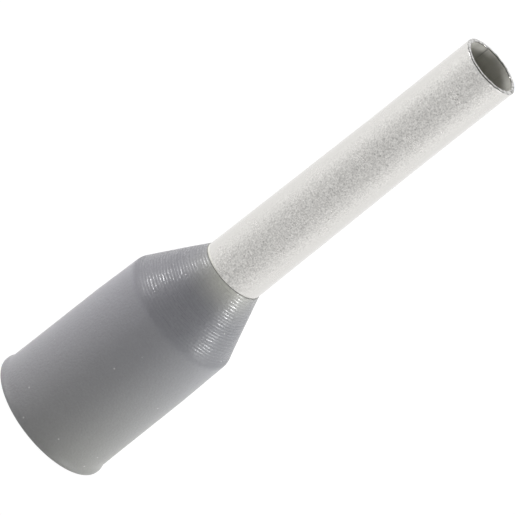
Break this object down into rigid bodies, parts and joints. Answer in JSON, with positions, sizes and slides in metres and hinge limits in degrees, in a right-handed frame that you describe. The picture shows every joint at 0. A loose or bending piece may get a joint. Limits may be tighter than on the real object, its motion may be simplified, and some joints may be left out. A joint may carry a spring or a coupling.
{
  "type": "wire ferrule",
  "caption": "Insulated bootlace ferrule: a straight plated copper tube for bare wire strands, flared into a stepped plastic collar that takes the wire's insulation.",
  "frame": {"origin": "centre of the collar's mouth face, where the wire goes in", "axes": "+Z along the wire, from the collar's mouth to the open end of the tube; turned shape, so X and Y are any two square directions"},
  "size_m": [0.0034, 0.0034, 0.014],
  "materials": {
    "collar_plastic": "satin grey moulded polypropylene",
    "tinned_copper": "matte bright tin plating with a fine grain"
  },
  "bodies": {
    "root": {"insulating_collar": "collar_plastic", "contact_tube": "tinned_copper"}
  },
  "joints": []
}
